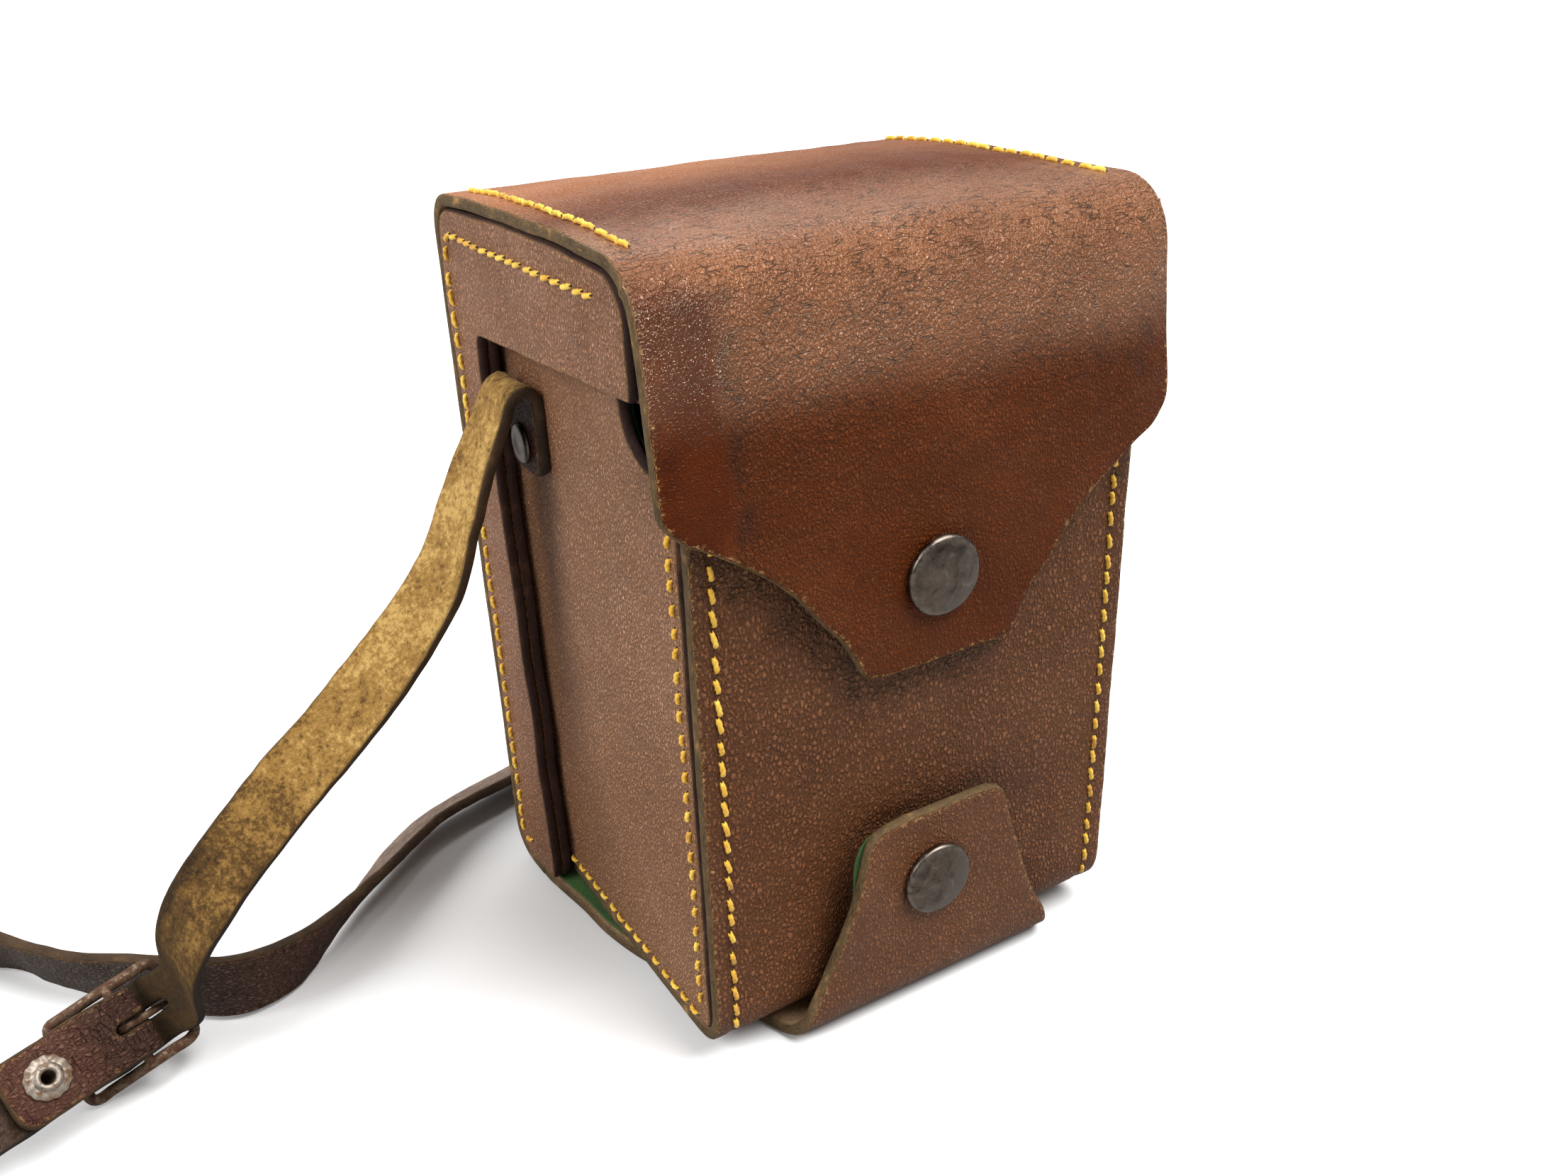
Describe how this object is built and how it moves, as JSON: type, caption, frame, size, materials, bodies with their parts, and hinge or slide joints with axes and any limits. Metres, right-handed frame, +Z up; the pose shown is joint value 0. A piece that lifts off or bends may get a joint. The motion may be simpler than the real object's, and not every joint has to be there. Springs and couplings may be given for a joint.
{
  "type": "leather ever ready case",
  "caption": "Upright leather camera case: a felt-lined tray, a hinged rear cover with a snap-down front flap, a snap tab under the base, and a buckled carrying strap.",
  "frame": {"origin": "on the floor under the middle of the closed case, at the base strip's underside", "axes": "+X to the right and +Y to the back as seen from the front of the case, +Z up"},
  "size_m": [0.2652, 0.1338, 0.1468],
  "materials": {
    "cover_leather": "semi-gloss, fine pebbled, worn edges",
    "tray_leather": "semi-gloss, pebbled, dark",
    "strap_leather": "matt suede inside, smooth worn outside",
    "felt": "matt green felt",
    "stud_metal": "dark worn, domed",
    "buckle_metal": "worn nickel with rust",
    "eyelet_metal": "dull pale nickel"
  },
  "bodies": {
    "tray": {"front_base_panel": "tray_leather", "front_base_lining": "felt", "left_side_panel": "cover_leather", "right_side_panel": "cover_leather", "left_side_lining": "felt", "right_side_lining": "felt", "base_strip": "cover_leather", "base_strip_lining": "felt", "upper_stud": "stud_metal", "upper_stud_collar": "stud_metal", "lower_stud": "stud_metal", "lower_stud_collar": "stud_metal", "left_strap_end": "strap_leather", "right_strap_end": "strap_leather", "left_strap_rivet": "stud_metal", "right_strap_rivet": "stud_metal", "left_rivet_washer": "eyelet_metal", "right_rivet_washer": "eyelet_metal"},
    "rear_cover": {"back_top_panel": "cover_leather", "back_top_lining": "felt", "left_gusset": "cover_leather", "right_gusset": "cover_leather", "left_gusset_backing": "tray_leather", "right_gusset_backing": "tray_leather"},
    "flap_bend": {"flap_bend": "cover_leather", "flap_bend_lining": "felt"},
    "flap": {"front_flap": "cover_leather", "flap_lining": "felt", "upper_snap_cap": "stud_metal", "upper_snap_socket": "stud_metal"},
    "tab": {"base_tab": "cover_leather", "base_tab_lining": "felt", "lower_snap_cap": "stud_metal", "lower_snap_socket": "stud_metal"},
    "strap": {"left_strap": "strap_leather", "right_strap": "strap_leather", "buckle_frame": "buckle_metal", "chape_eyelet": "eyelet_metal"},
    "prong": {"buckle_prong": "buckle_metal"}
  },
  "joints": [
    {"name": "rear_cover_swing", "type": "hinge", "parent": "tray", "child": "rear_cover", "pos_m": [0, 0.042, 0], "axis": [-1, 0, 0], "range_deg": [0, 36]},
    {"name": "flap_lift", "type": "hinge", "parent": "rear_cover", "child": "flap_bend", "pos_m": [0, -0.033, 0.1462], "axis": [-1, 0, 0], "range_deg": [0, 108]},
    {"name": "flap_open", "type": "hinge", "parent": "flap_bend", "child": "flap", "pos_m": [0, -0.0436, 0.1356], "axis": [-1, 0, 0], "range_deg": [0, 150]},
    {"name": "tab_open", "type": "hinge", "parent": "tray", "child": "tab", "pos_m": [0, -0.0474, 0.007], "axis": [1, 0, 0], "range_deg": [0, 100]},
    {"name": "strap_swing", "type": "hinge", "parent": "tray", "child": "strap", "pos_m": [0, 0.0145, 0.1146], "axis": [1, 0, 0], "range_deg": [0, 150]},
    {"name": "prong_swing", "type": "hinge", "parent": "strap", "child": "prong", "pos_m": [-0.1342, 0.0132, 0.0122], "axis": [-0.2582, 0.6091, 0.7499], "range_deg": [0, 20]}
  ],
  "couplings": [
    {"joint": "flap_lift", "follows": "rear_cover_swing", "ratio": 3}
  ]
}
